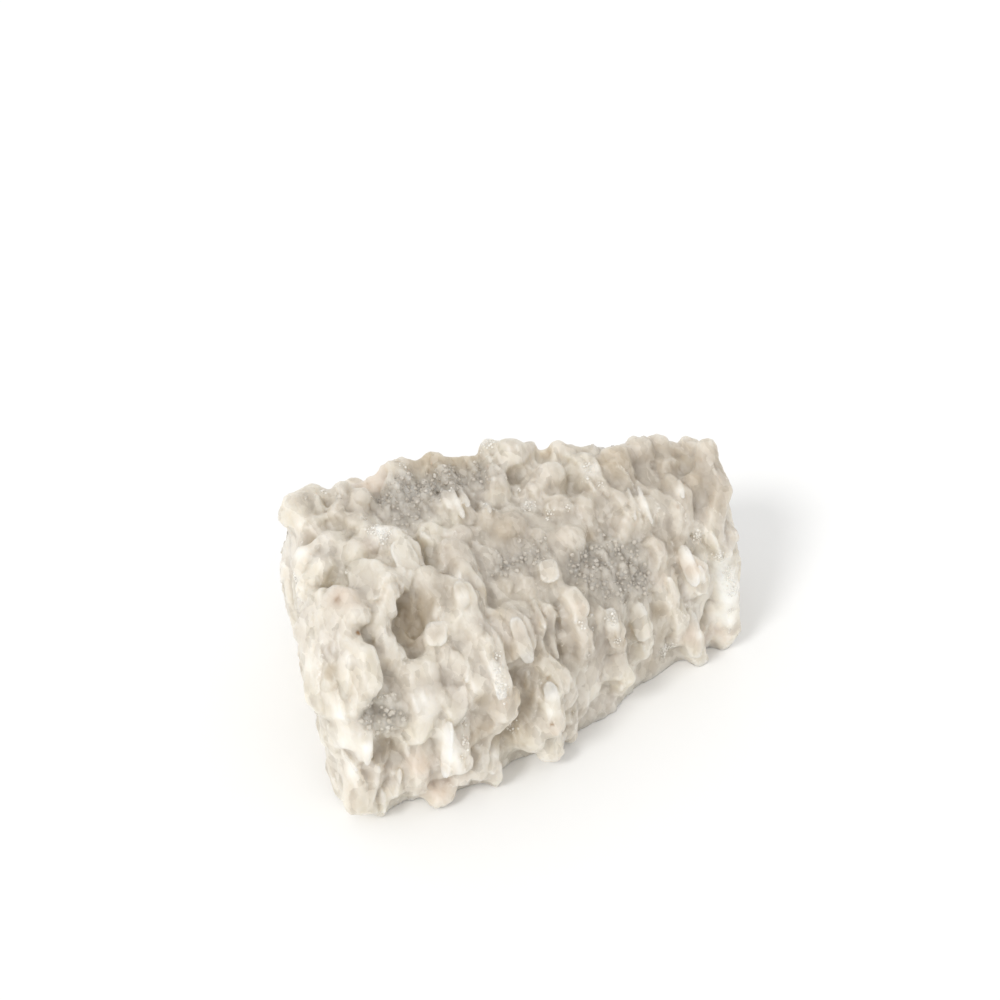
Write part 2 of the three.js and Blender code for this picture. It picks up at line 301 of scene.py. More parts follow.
# %% One lobe
WIDEST_STRETCH = 1.7  # how much longer than it looks a lobe on a slanting face may be
LEAST_FACING = 0.25  # a face seen more edge-on than this is taken as turned a little to the camera
SQUARENESS = 2.3  # of the outline: 2 is an ellipse, more is squarer
WAVES, WAVE_HEIGHT = 5, 0.07  # the outline wavers by this much of the lobe's size
BARE = -0.8  # the milkiness where no lobe has grown, low, so the gaps between lobes are darker: painted shade
STACKED = 0.6  # a lobe on a lobe starts at this part of the lower one's height
EDGE_LUMP, EDGE_BETWEEN, EDGE_PLATE = 4.0, 6.0, 8.0  # a plate's top is more level than a lump's
REACH = 1.2  # how far out points are looked for, in half lengths of the lobe
SAME_WAY = 0.1  # skin that faces further away from the lobe's own way out stays as it is
CORE = 0.6  # the inner part of a lobe, which tells what it starts from
FADE = 0.6  # how much less milky a lobe is at its outline, so most lobes darken toward their rim: painted shade
THIN = 0.35  # the outer part of a lobe, where its edge is thin
ANY_TURN = 6.3  # radians, once round

even_tree = ray_tree(even)
even_points, outward = positions_of(even.data), normals_of(calm.data)
raised = np.zeros(len(even_points))  # how far each point rises
shade = np.full(len(even_points), BARE)  # every lobe has its own milkiness, and the gaps between them get painted shade
edge_light = np.zeros(len(even_points))  # painted light where thin edges let light through, and white wear
near = near_tree(even_points)
chance = np.random.default_rng(17)
print("points to raise:", len(even_points))

# %% Where a lobe sits
def place_on(surface, x, y):
    """Where a picture point meets a surface, the way out there, the sight line and a pixel's size."""
    ray = sight_line(x, y)
    hit, _, _, distance = surface.ray_cast(CAMERA_AT, ray)
    out = Vector(outward[near.find(hit)[1]])
    if out.dot(ray) > -LEAST_FACING:
        out = (out - ray * (LEAST_FACING + out.dot(ray))).normalized()
    return hit, out, ray, distance * ray.dot(CAMERA_LOOKS.normalized()) / PIXELS


def lobe_axes(place, long, wide, turn):
    """The half axes of a lobe on the skin, across and along, from its size and turn as seen."""
    _, out, ray, pixel = place
    angle = math.radians(turn)
    axes = []
    for seen, size in (
        (RIGHT * math.cos(angle) - UP * math.sin(angle), wide),
        (RIGHT * math.sin(angle) + UP * math.cos(angle), long),
    ):
        flat = seen - ray * (seen.dot(out) / ray.dot(out))
        if flat.length > WIDEST_STRETCH:
            flat *= WIDEST_STRETCH / flat.length
        axes.append(flat * (size / 2 * pixel))
    return axes

# %% How a lobe rises
def swell(middle, out, across, along, stand, lean, edge, milk, share=1.0):
    """Raises the skin inside one lobe's outline. Its milkiness replaces that share of what was there."""
    reach = REACH * max(across.length, along.length)
    index = np.array([i for _, i, _ in near.find_range(middle, reach)])
    offset = even_points[index] - np.array(middle)
    u, v = (offset @ np.array(axis) / axis.length_squared for axis in (across, along))
    angle, outline = np.arctan2(v, u), 1.0
    for wave in range(2, 2 + WAVES):
        height = chance.normal(0, WAVE_HEIGHT / math.sqrt(wave))
        outline = outline + height * np.cos(wave * angle + chance.uniform(0, ANY_TURN))
    r = (np.abs(u) ** SQUARENESS + np.abs(v) ** SQUARENESS) ** (1 / SQUARENESS) / outline
    inside = (r < 1) & (outward[index] @ np.array(out) > SAME_WAY)
    index, u, r = index[inside], u[inside], r[inside]
    brightness = chance.uniform(0, 1)
    if len(index) < 3:
        return
    start = raised[index][r < CORE].mean() * STACKED if (r < CORE).any() else 0.0
    top = (start + stand) * np.sqrt(1 - r**edge) * (1 + lean * u)
    higher = top > raised[index]
    index, top, r, u = index[higher], top[higher], r[higher], u[higher]
    raised[index] = top
    shade[index] += (milk * (1 - FADE * r**3) - shade[index]) * share
    thin = np.clip((r - (1 - THIN)) / THIN, 0, 1) ** 2
    edge_light[index] = brightness * thin * np.clip(0.4 + 0.9 * u, 0, 1)  # most on the right

# %% The rows of lobes
LOBES = (
    # left corner and its crown
    (305, 492, 24, 22, 1.2), (288, 515, 44, 22, 0.9), (297, 533, 22, 22, 1.2),
    (300, 556, 28, 24, 1.6, 0, 0.2), (318, 560, 24, 30, 1.8), (340, 489, 20, 18, 1.4),
    (323, 493, 12, 10, 0.9), (360, 494, 18, 20, 2), (338, 503, 12, 12, 1), (313, 513, 28, 20, 1),
    (345, 520, 18, 32, 1.5), (331, 538, 38, 28, 1.4, -15), (356, 545, 28, 28, 1.2), (369, 522, 14, 14, 1.2),
    (382, 535, 22, 24, 1.5, -20), (405, 557, 34, 34, 2.4, -20, 0.2), (394, 547, 26, 24, 1.8),
    (296, 578, 18, 16, 1),
    # the great plates of the left end
    (366, 584, 50, 40, 1.4, -15, 0.2), (380, 578, 34, 22, 1.6, -15, 0.3), (386, 600, 32, 16, 1.4, -5, 0.3),
    (376, 622, 30, 22, 1.2, -25, 0.2), (388, 645, 38, 14, 1.2, 0, 0.2), (391, 664, 30, 20, 0.9, -35),
    (340, 602, 34, 40, 1.5), (352, 611, 24, 22, 1.6, 0, 0.2), (322, 632, 32, 20, 1.2, -5),
    (350, 640, 34, 20, 1.2, -10), (366, 668, 50, 24, 1.7, -10, 0.3), (346, 672, 44, 14, 1.2),
    (304, 625, 56, 18, 1.2), (293, 615, 50, 10, 0.8), (310, 674, 56, 22, 1.3, -10), (329, 692, 26, 14, 1),
    (303, 597, 20, 18, 0.8), (345, 576, 22, 28, 0.9), (327, 578, 16, 16, 0.8),
    # low on the left
    (315, 706, 26, 16, 1, -20), (338, 718, 42, 20, 1.5, -5, 0.2), (342, 738, 16, 20, 1.4),
    (360, 744, 48, 20, 1.5, -4, 0.3), (355, 710, 20, 10, 0.8), (349, 761, 24, 7, 1, -35),
    (355, 790, 46, 18, 1.5, -3, 0.2), (345, 788, 40, 8, 0.8, -5), (367, 796, 34, 12, 1), (391, 791, 18, 8, 1),
    (391, 804, 14, 14, 1), (372, 719, 22, 18, 1.5), (395, 717, 28, 26, 1.7), (362, 702, 13, 13, 1.1),
    (385, 701, 14, 18, 1), (404, 745, 16, 8, 0.8), (379, 752, 34, 12, 0.8),
    # the recess behind the great plates
    (407, 602, 40, 14, 0.8, -5), (426, 592, 50, 18, 1, -8), (431, 608, 34, 20, 1.2, -5),
    (436, 635, 28, 22, 1.9), (430, 572, 30, 18, 0.8, -10),
    # the third rib and its foot
    (422, 672, 34, 34, 1.5), (425, 705, 50, 30, 1.7), (453, 706, 38, 22, 1.5),
    (446, 750, 66, 18, 1.6, 4, 0.2), (461, 742, 52, 12, 1.3, 3), (440, 794, 22, 32, 1.5),
    (419, 762, 50, 20, 1), (410, 738, 20, 8, 1, 8), (463, 776, 18, 16, 0.8),
    # crown, left part
    (400, 472, 16, 16, 1.2), (420, 482, 9, 9, 1), (385, 510, 16, 14, 1), (372, 504, 9, 9, 1),
    (414, 506, 9, 9, 1), (425, 497, 18, 18, 2), (437, 508, 14, 14, 1.2), (431, 521, 15, 28, 1.5),
    (414, 532, 20, 28, 1.2), (440, 475, 12, 13, 1.4, -20), (458, 511, 38, 24, 1.5, -20),
    (468, 531, 16, 18, 1.4), (492, 443, 20, 24, 1.2, 20), (517, 455, 38, 34, 0.8), (563, 451, 18, 20, 1.3),
    (551, 476, 36, 30, 2, -10), (556, 498, 22, 24, 1.8), (530, 484, 22, 13, 1.2), (500, 491, 26, 24, 1.2),
    (509, 521, 44, 34, 2, -10), (517, 491, 10, 10, 1.1), (524, 497, 10, 10, 1.1),
    (530, 508, 18, 12, 1.2, -30), (537, 501, 24, 9, 1.4, -30), (548, 512, 14, 8, 1.1, -30),
    (555, 516, 10, 8, 0.8), (567, 508, 15, 9, 1.2, -30), (538, 530, 34, 28, 1.5, -15), (567, 531, 38, 28, 2),
    (549, 570, 26, 25, 2), (547, 592, 26, 18, 1, -10), (505, 562, 10, 10, 0.9), (530, 587, 20, 22, 1),
    # the second rib
    (455, 546, 36, 32, 1.8, -15), (471, 556, 30, 18, 1.2, -15), (440, 556, 42, 20, 1, -15),
    (444, 533, 22, 7, 1.1, -50), (427, 546, 24, 12, 1.2, -30), (489, 540, 34, 18, 1, -20),
    (452, 602, 70, 20, 1.2, -8), (464, 597, 58, 12, 1.6, -18, 0.3), (474, 586, 34, 12, 1.3, -15),
    (477, 609, 14, 12, 1), (491, 627, 34, 26, 1.8, -20, 0.2), (468, 637, 36, 24, 1.5, -20),
    (485, 657, 40, 20, 1.4, -20), (446, 656, 26, 16, 1.2, -20), (457, 666, 26, 16, 1, -20),
    (498, 673, 60, 14, 2, -8, 0.3), (505, 705, 30, 20, 1.5), (480, 692, 40, 26, 1, -10),
    (518, 612, 20, 20, 1, -20), (522, 634, 40, 20, 1.1, -30), (527, 625, 9, 8, 0.8),
    (541, 662, 40, 13, 1, -10), (480, 775, 20, 18, 0.8), (486, 735, 50, 11, 1, 3),
    # the third long rib, its lens and what stands beside it
    (573, 599, 30, 19, 2), (577, 640, 48, 20, 1.4, -5), (557, 668, 50, 15, 1.3, -22),
    (545, 640, 60, 12, 1.2, -18), (553, 708, 58, 16, 1.9, -8, 0.2), (556, 738, 14, 12, 1),
    (550, 744, 16, 26, 1.2), (572, 690, 30, 16, 1.4, -10), (567, 719, 9, 9, 1.1), (568, 735, 14, 12, 0.9),
    (593, 620, 34, 14, 1), (590, 671, 30, 24, 1), (613, 630, 46, 17, 1.8, -8, 0.3), (614, 668, 28, 25, 2),
    (640, 623, 44, 20, 1.4, -5, 0.2), (660, 626, 40, 14, 1, -15), (673, 588, 30, 9, 1.5, -20),
    (675, 622, 50, 18, 1, -10),
    # crown, right part
    (575, 460, 14, 14, 1), (588, 458, 11, 11, 1.1), (582, 476, 24, 20, 1.4, -20), (594, 472, 34, 9, 1.3, -25),
    (603, 486, 26, 7, 1.2, -30), (589, 486, 16, 7, 1.1, -30), (600, 502, 26, 24, 1.2),
    (620, 463, 14, 28, 0.8, -20), (619, 450, 14, 28, 1, 20), (640, 456, 34, 24, 1.6), (650, 441, 14, 16, 1),
    (666, 450, 26, 20, 1.2), (624, 495, 44, 20, 1.3, -20), (632, 506, 32, 6, 1.4, -12),
    (648, 482, 24, 20, 1.2, -10), (659, 502, 50, 18, 1.4, -25, 0.2), (663, 462, 15, 13, 1.1),
    (631, 529, 26, 26, 1.4), (681, 490, 26, 13, 1.6, -10), (686, 513, 34, 10, 1.2, -8),
    (672, 511, 30, 13, 1, -10), (678, 458, 40, 12, 0.9, -15), (705, 463, 50, 24, 1.3, -22),
    (721, 488, 56, 18, 1.2, -25), (725, 516, 30, 16, 1), (693, 488, 60, 12, 0.8, -25),
    # druse hollow between them
    (597, 573, 26, 12, 1.3, -10), (627, 573, 18, 16, 1.6), (614, 546, 14, 16, 1.3), (619, 586, 18, 28, 0.9),
    (636, 558, 12, 12, 1), (603, 557, 12, 10, 1),
    # right end
    (706, 533, 48, 24, 1.5, -8, 0.2), (696, 537, 20, 8, 1.2), (722, 537, 40, 16, 1, -15),
    (690, 568, 48, 18, 1.8, -22, 0.3), (657, 542, 15, 14, 1.5, -30), (668, 556, 30, 13, 0.9, -10),
    (652, 562, 30, 15, 1), (692, 633, 58, 20, 1.6, -8, 0.2), (700, 630, 36, 7, 1.4, -8),
    (698, 601, 30, 14, 1, -20), (708, 625, 50, 13, 0.8, -5), (727, 576, 44, 20, 1.3, -8),
    (725, 606, 50, 22, 1.2), (722, 635, 32, 26, 1.3), (714, 645, 14, 16, 0.8), (642, 663, 34, 48, 0.7, 10),
    (666, 664, 20, 28, 0.8, 10),
)

PLATE_LEAN = 0.6  # a plate's right side is raised, and its left side sinks in
PLUMP = 0.72  # a lobe as wide as this part of its length is a round lump, a narrower one is a plate
GROWN = 1.12  # they are this many times as large as they look, because neighbours overlap
LOW = 0.75  # they rise by this part of what their rows say
MILKY = (0.6, 0.4)  # the mean and the spread of how milky they are

placed = []
for x, y, long, wide, stand, *rest in sorted(LOBES, key=lambda row: -row[2] * row[3]):
    turn, lean = (*rest, 0, 0)[:2]
    place = place_on(even_tree, x, y)
    across, along = lobe_axes(place, long * GROWN, wide * GROWN, turn)
    plump = wide > PLUMP * long and not lean
    lean, edge = (0.0, EDGE_LUMP) if plump else (PLATE_LEAN + lean, EDGE_PLATE)
    swell(place[0], place[1], across, along, LOW * stand * MM, lean, edge, chance.normal(*MILKY))
    placed.append(place[0])
print("lobes:", len(placed), "highest, mm:", round(float(raised.max()) / MM, 2))

# %% [markdown]
# ## Growth everywhere
# Between the lobes and all over the hidden sides the stone is just as rich, so seeded chance sets more lobes
# of two sizes: larger ones only where none was listed, and small ones everywhere. All lie as the plates do:
# long across the mass and narrow along it.

# %% Larger and small growth
SKEW = 0.19  # the plates stand across the mass, turned from square by this slope
LEAST_ACROSS = 0.25  # where the skin faces along the mass, closer than this, any direction will do
STRAY = 0.3  # radians by which they turn from each other
FREE = 6 * MM  # a larger lobe starts at least this far from the listed ones
CLEAR_OF_FLOOR = 2.5 * MM
VARIED = (0.3, 0.7)  # the mean and the spread of how milky they are


def nearest_gap(points, marks):
    """The distance from each point to the nearest mark."""
    gaps = np.full(len(points), np.inf)
    for mark in marks:
        gaps = np.minimum(gaps, ((points - np.array(mark)) ** 2).sum(axis=1))
    return np.sqrt(gaps)


def grow(where, number, half_length, half_width, stand, share):
    """Swells a number of lobes at chance points, each with its own size between the limits, in mm."""
    for index in chance.choice(np.flatnonzero(where), number, replace=False):
        out = Vector(outward[index])
        across = Vector((1.0, -SKEW, 0.0))
        across -= out * across.dot(out)
        if across.length < LEAST_ACROSS:
            across = out.orthogonal()
        across = (Quaternion(out, chance.normal(0, STRAY)) @ across).normalized()
        along = out.cross(across)
        sizes = [chance.uniform(*limits) * MM for limits in (half_width, half_length, stand)]
        swell(
            Vector(even_points[index]), out, across * sizes[0], along * sizes[1], sizes[2],
            PLATE_LEAN, EDGE_BETWEEN, milk=chance.normal(*VARIED), share=share,
        )


lifted = even_points[:, 2] > CLEAR_OF_FLOOR
larger = lifted & (nearest_gap(even_points, placed) > FREE)
grow(larger, 420, half_length=(3.0, 8.0), half_width=(1.6, 3.4), stand=(0.35, 0.8), share=1.0)
grow(lifted, 2600, half_length=(1.3, 3.4), half_width=(0.8, 1.7), stand=(0.12, 0.38), share=0.35)
lobed_mesh = even.data.copy()
grown_points = even_points + outward * raised[:, None]
lobed_mesh.vertices.foreach_set("co", grown_points.ravel())
grown_near = near_tree(grown_points)
lobed = new_object("lobed", lobed_mesh)
discard(even, calm)
print("mean rise, mm:", round(float(raised.mean()) / MM, 2))

# %% [markdown]
# ## One skin
# Lobes are swellings of the skin, but the thinnest blades and the petals with free rims stand clear of it. So
# they are bodies of their own, set on it in the same way. A finer remesh keeps only the common outside, which
# is how they look in the stone: grown into each other. A little smoothing rounds the steps.

# %% Blades in known places
BLADES = (  # the numbers of a lobe, without the lean
    (457, 503, 34, 6, 1.6, -25), (464, 497, 26, 5, 1.4, -30), (446, 498, 24, 8, 1.6, -30),
    (452, 487, 12, 5, 1.4, -30), (488, 508, 18, 5, 1.4, -38), (483, 507, 12, 5, 1.2, -38),
    (496, 513, 12, 5, 1.2, -38), (539, 614, 32, 5, 2, -25), (546, 602, 18, 5, 1.6, -15),
    (563, 622, 16, 5, 1.6, -8), (575, 618, 12, 5, 1.5, -5), (553, 645, 30, 5, 1.4, -20),
    (632, 504, 34, 4, 1.2, -14), (645, 505, 42, 4, 1.2, -22), (603, 485, 26, 7, 1.6, -30),
    (590, 484, 18, 5, 1.4, -35), (596, 468, 26, 7, 1.6, -25), (673, 590, 28, 6, 2, -18),
    (703, 580, 30, 5, 1.6, -12), (646, 628, 22, 5, 1.2, -12), (617, 636, 26, 5, 1.6, -6),
    (573, 712, 26, 7, 1.8, -6), (515, 650, 20, 5, 1.2, -8), (528, 681, 22, 5, 1.4, -2),
    (467, 673, 20, 5, 1.2, 5), (494, 752, 46, 7, 1.8, 3), (368, 748, 36, 7, 1.8, 4),
    (383, 802, 24, 5, 1.6, -4), (398, 783, 30, 5, 1.8, 8), (393, 778, 14, 5, 1.2, 0),
    (377, 776, 22, 5, 1.4, 12), (350, 762, 24, 5, 1, -38), (415, 705, 20, 5, 1, -15),
    (423, 698, 22, 5, 1.1, -15), (697, 537, 16, 7, 1.2, -10), (681, 489, 20, 5, 1, -15),
    (686, 515, 26, 5, 1.2, -8), (716, 545, 30, 5, 1, -20), (553, 706, 50, 14, 1.2, -8),
    (455, 571, 24, 12, 1.1, -14), (461, 594, 28, 12, 1.1, -14), (498, 672, 56, 12, 1.4, -8),
    (689, 566, 44, 15, 1.4, -20), (692, 634, 50, 15, 1.3, -8), (613, 628, 42, 12, 1.3, -8),
    (447, 750, 58, 14, 1.3, 4), (380, 632, 60, 14, 1, -10), (405, 556, 36, 24, 1.4, -28),
    (364, 580, 44, 32, 1.4, -15), (522, 640, 50, 14, 1.2, -18), (640, 622, 40, 14, 1.2, -5),
    (707, 470, 50, 16, 1.2, -22), (436, 634, 26, 22, 1.3, -10), (549, 571, 24, 20, 1.4, -15),
)

BLADE_LEAN = 0.3  # the right side of a blade is raised by this slope
BLADE_LOW = 0.45  # blades stand out by this part of what their rows say

# %% Fuse
FINE = 0.45 * MM  # the side of a face of the fused skin

lobed_tree = ray_tree(lobed)
blades = []
for x, y, long, wide, stand, turn in BLADES:
    place = place_on(lobed_tree, x, y)
    middle, out = place[:2]
    across, along = lobe_axes(place, long, wide, turn)
    lean = BLADE_LEAN if wide <= 0.5 * long else 0.0  # round ones lie flat
    axes = np.array((across + out * (across.length * lean), along, out * (BLADE_LOW * stand * MM)))
    blades.append(squared_points @ axes + np.array(middle))
add_bodies(lobed, blades)
fused = with_modifier(lobed, "fused", "REMESH", mode="VOXEL", voxel_size=FINE)
soft = with_modifier(fused, "soft", "SMOOTH", factor=0.5, iterations=1)
print("blades:", len(blades), "fused faces:", len(soft.data.polygons))
discard(lobed, fused)

# %% [markdown]
# ## Patches
# Parts of the stone are grey because their crystals are clearer, and a few parts are rosy. A brown tint is
# painted warm shade in the deep places and valleys, and warms a few other spots. Crests are whiter, and faces
# that the lamp leaves darker are lifted toward white with painted light. Rims glitter, painted shade darkens
# the valleys and the crown, and iron leaves rust specks. A patch is a soft round spot, given by where the
# camera sees it, its radius as seen and its strength. On the sides that the camera doesn't see, seeded chance
# sets them.

# %% Patches
PATCHES = {}  # of each kind: x, y, radius in pixels, strength
PATCHES["grey"] = (
    (385, 500, 18, 0.9), (405, 488, 22, 1), (412, 510, 22, 1), (435, 492, 24, 1), (455, 478, 20, 0.9),
    (478, 474, 20, 0.8), (500, 476, 16, 0.5), (398, 520, 12, 0.8), (520, 560, 26, 0.7), (500, 565, 16, 0.7),
    (540, 548, 16, 0.5), (575, 562, 16, 0.7), (598, 560, 22, 1), (624, 565, 26, 1), (612, 588, 24, 0.9),
    (640, 582, 18, 0.8), (600, 535, 12, 0.8), (636, 548, 12, 0.6), (585, 585, 10, 0.5), (385, 706, 18, 0.6),
    (365, 708, 12, 0.7), (372, 722, 14, 0.6), (395, 718, 14, 0.7), (340, 576, 14, 0.35), (585, 655, 16, 0.5),
    (545, 600, 16, 0.3), (640, 622, 12, 0.4), (430, 560, 14, 0.2), (305, 495, 10, 0.4), (340, 492, 12, 0.5),
)
# brown tint: painted warm shade in the recesses and valleys, and a warmer tone at a few other spots
PATCHES["brown_and_shade"] = (
    (330, 672, 10, 1), (333, 690, 7, 0.6), (412, 612, 20, 0.9), (410, 636, 18, 1), (430, 600, 14, 0.6),
    (388, 745, 16, 0.9), (478, 735, 20, 0.9), (480, 700, 10, 0.8), (518, 690, 22, 0.8), (520, 725, 20, 0.7),
    (508, 650, 12, 0.8), (500, 610, 14, 0.6), (486, 592, 8, 1), (425, 461, 20, 0.9), (452, 461, 18, 0.9),
    (474, 456, 14, 0.7), (620, 463, 18, 0.9), (606, 462, 12, 0.7), (546, 452, 9, 1), (694, 480, 14, 0.7),
    (682, 455, 12, 0.8), (658, 612, 12, 0.9), (664, 635, 12, 0.7), (706, 615, 12, 0.6), (650, 665, 24, 0.5),
    (672, 545, 14, 0.7), (508, 528, 18, 0.5), (312, 541, 8, 1), (375, 555, 8, 0.7), (588, 536, 9, 0.9),
    (500, 740, 14, 0.7), (535, 650, 10, 0.6), (560, 648, 8, 0.6), (392, 660, 12, 0.5), (366, 790, 14, 0.4),
    (715, 505, 14, 0.4), (660, 450, 14, 0.4), (355, 540, 16, 0.3), (625, 640, 8, 0.9),
)
PATCHES["rose"] = (
    (340, 594, 18, 0.8), (438, 790, 20, 0.8), (425, 765, 16, 0.5), (690, 568, 16, 0.6), (692, 635, 18, 0.7),
    (556, 734, 10, 0.7), (715, 635, 18, 0.8), (580, 608, 12, 0.5), (356, 603, 12, 0.4), (660, 580, 12, 0.5),
    (564, 532, 16, 0.3), (370, 545, 12, 0.4), (595, 520, 20, 0.2), (415, 765, 14, 0.6), (500, 700, 14, 0.3),
)
# whiter crests, and painted light: faces that the lamp leaves darker, as on the right end, are lifted toward
# white
PATCHES["white_and_highlight"] = (
    (457, 578, 9, 0.5), (463, 597, 9, 0.6), (468, 615, 8, 0.7), (553, 695, 9, 0.7), (552, 712, 8, 0.6),
    (446, 735, 10, 0.9), (446, 755, 10, 0.9), (443, 775, 10, 0.7), (424, 697, 13, 0.8), (430, 712, 12, 0.6),
    (612, 625, 8, 0.7), (688, 558, 9, 0.6), (700, 578, 8, 0.7), (300, 553, 10, 0.7), (368, 748, 6, 1),
    (300, 600, 14, 0.4), (310, 665, 14, 0.5), (348, 660, 12, 0.5), (497, 668, 9, 0.8), (500, 688, 9, 0.8),
    (495, 755, 6, 0.7), (640, 495, 8, 0.4), (680, 490, 8, 0.5), (592, 470, 10, 0.7), (725, 575, 12, 0.8),
    (728, 600, 10, 0.9), (700, 635, 7, 0.7), (380, 535, 12, 0.9), (403, 556, 12, 0.3), (485, 440, 10, 0.6),
    (455, 502, 9, 0.6), (530, 505, 10, 0.5), (645, 505, 8, 0.6), (340, 712, 12, 0.6), (352, 770, 10, 0.6),
    (724, 562, 15, 1), (727, 590, 15, 1), (724, 618, 15, 1), (716, 638, 12, 0.7), (703, 560, 10, 0.7),
    (348, 745, 22, 0.6), (400, 492, 22, 0.3), (438, 488, 20, 0.3), (730, 600, 20, 0.6), (300, 700, 12, 0.4),
    (452, 752, 18, 0.6), (690, 590, 12, 0.5), (700, 615, 12, 0.4),
)
PATCHES["glitter"] = (
    (364, 519, 7, 0.8), (372, 529, 8, 1), (384, 536, 12, 1), (296, 577, 9, 0.8), (323, 492, 7, 0.7),
    (496, 655, 7, 1), (499, 672, 8, 1), (502, 690, 8, 1), (508, 700, 6, 0.7), (465, 722, 6, 0.9),
    (466, 740, 6, 0.9), (463, 757, 6, 0.7), (612, 620, 7, 1), (617, 640, 5, 1), (720, 558, 9, 0.9),
    (728, 572, 10, 1), (733, 590, 9, 1), (731, 612, 8, 0.8), (726, 630, 8, 0.6), (697, 536, 8, 0.9),
    (592, 466, 9, 0.8), (586, 480, 8, 0.6), (603, 485, 6, 0.8), (518, 492, 7, 0.7), (530, 507, 9, 0.8),
    (549, 513, 7, 0.8), (567, 507, 6, 0.7), (490, 441, 9, 0.9), (480, 446, 7, 0.7), (452, 489, 6, 0.8),
    (390, 455, 7, 0.6), (404, 465, 6, 0.6), (345, 574, 5, 0.6), (336, 580, 5, 0.7), (348, 660, 5, 0.4),
    (383, 696, 5, 0.7), (393, 776, 6, 0.5), (573, 712, 5, 0.6), (583, 625, 5, 0.7), (595, 630, 5, 0.6),
)
# painted shade: darker valleys and recesses, and a duller, shaded crown and middle
PATCHES["dull_and_shade"] = (
    (424, 705, 22, 0.5), (455, 590, 22, 0.4), (614, 655, 22, 0.5), (708, 470, 22, 0.7), (705, 480, 45, 0.9),
    (650, 470, 40, 0.7), (620, 480, 50, 0.6), (560, 500, 45, 0.6), (510, 520, 40, 0.8), (450, 480, 40, 0.5),
    (520, 575, 45, 0.6), (455, 545, 30, 0.6), (430, 585, 24, 0.5), (540, 640, 34, 0.5), (570, 560, 30, 0.5),
    (660, 540, 30, 0.6), (590, 600, 34, 0.5), (400, 460, 26, 0.4), (350, 520, 26, 0.4), (305, 500, 18, 0.4),
    (620, 640, 40, 0.6), (575, 655, 34, 0.5), (480, 630, 24, 0.4), (505, 710, 26, 0.4), (360, 585, 26, 0.4),
    (450, 560, 18, 0.6), (446, 602, 15, 0.4), (425, 690, 20, 0.5), (345, 508, 28, 0.5), (612, 650, 20, 0.4),
    (712, 482, 24, 0.4), (408, 618, 18, 0.75), (405, 600, 14, 0.6), (420, 642, 12, 0.6), (436, 634, 10, 0.7),
    (425, 690, 24, 0.4), (512, 522, 22, 0.75), (447, 678, 10, 0.6), (412, 646, 13, 0.6), (390, 668, 12, 0.5),
    (396, 688, 9, 0.5), (452, 590, 24, 0.4), (518, 672, 14, 0.9), (520, 705, 15, 0.9), (545, 620, 22, 0.4),
    (378, 590, 24, 0.3),
)
PATCHES["rust"] = (
    (358, 633, 3, 1), (337, 600, 5, 0.6), (552, 724, 2, 1), (678, 507, 3, 0.5), (304, 609, 2, 0.5),
)

# How many are set by chance, and how their sizes and strengths compare with the others.
HIDDEN = {"grey": 14, "brown_and_shade": 22, "rose": 10, "white_and_highlight": 26, "glitter": 30, "dull_and_shade": 8, "rust": 4}
SMALLER = {"glitter": 0.6, "rust": 0.15}
FAINTER = {"white_and_highlight": 0.45, "brown_and_shade": 0.8}
RADII, STRENGTHS = (3, 8), (0.5, 1.0)  # least and most, in mm and from 0 to 1
OUT_OF_SIGHT = 9 * MM  # how far they keep from the listed lobes
OFF_FLOOR = 4 * MM


def soft_patches(points, marks):
    """From 0 to 1 on each point: 1 in the middle of a patch, fading out round it."""
    left = np.ones(len(points))
    for middle, radius, strength in marks:
        squared = ((points - np.array(middle)) ** 2).sum(axis=1) / radius**2
        left *= 1 - strength * np.exp(-squared)
    return 1 - left


chance = np.random.default_rng(23)
soft_tree = ray_tree(soft)
soft_points = positions_of(soft.data)
hidden = (nearest_gap(soft_points, placed) > OUT_OF_SIGHT) & (soft_points[:, 2] > OFF_FLOOR)
marks = {}
for kind, rows in PATCHES.items():
    marks[kind] = []
    for x, y, radius, strength in rows:
        hit, _, _, distance = soft_tree.ray_cast(CAMERA_AT, sight_line(x, y))
        if hit is not None:
            marks[kind].append((hit, radius * distance / PIXELS, strength))
    for index in chance.choice(np.flatnonzero(hidden), HIDDEN[kind], replace=False):
        radius = chance.uniform(*RADII) * MM * SMALLER.get(kind, 1.0)
        strength = chance.uniform(*STRENGTHS) * FAINTER.get(kind, 1.0)
        marks[kind].append((Vector(soft_points[index]), radius, strength))
    print(kind, "patches:", len(marks[kind]))

# %% [markdown]
# ## Relief
# The last of the shape is a pattern, so a Geometry Nodes tree makes it: it pushes each point along its own
# direction. Soft domes, narrow along the mass and long across it, lie everywhere. Beads, which are rougher,
# crinkle the grey hollows and the glittering rims. Then the skin is thinned to its share of faces.

# %% Trees
def new_tree(name, inputs):
    """A Geometry Nodes tree with a geometry in and out, and named number inputs."""
    tree = bpy.data.node_groups.new(name, "GeometryNodeTree")
    tree.interface.new_socket("Geometry", in_out="INPUT", socket_type="NodeSocketGeometry")
    for label, value in inputs.items():
        kind = "NodeSocketInt" if isinstance(value, int) else "NodeSocketFloat"
        tree.interface.new_socket(label, in_out="INPUT", socket_type=kind).default_value = value
    tree.interface.new_socket("Geometry", in_out="OUTPUT", socket_type="NodeSocketGeometry")
    return tree, tree.nodes.new("NodeGroupInput").outputs, tree.nodes.new("NodeGroupOutput").inputs[0]


def through_tree(source, name, tree, **values):
    """A new plain object: source sent through the tree, with a value for each input that is named."""
    modifier = source.modifiers.new("nodes", "NODES")
    modifier.node_group = tree
    for item in tree.interface.items_tree:
        if item.item_type == "SOCKET" and item.in_out == "INPUT" and item.name in values:
            modifier[item.identifier] = values[item.name]
    return applied(source, name, modifier)


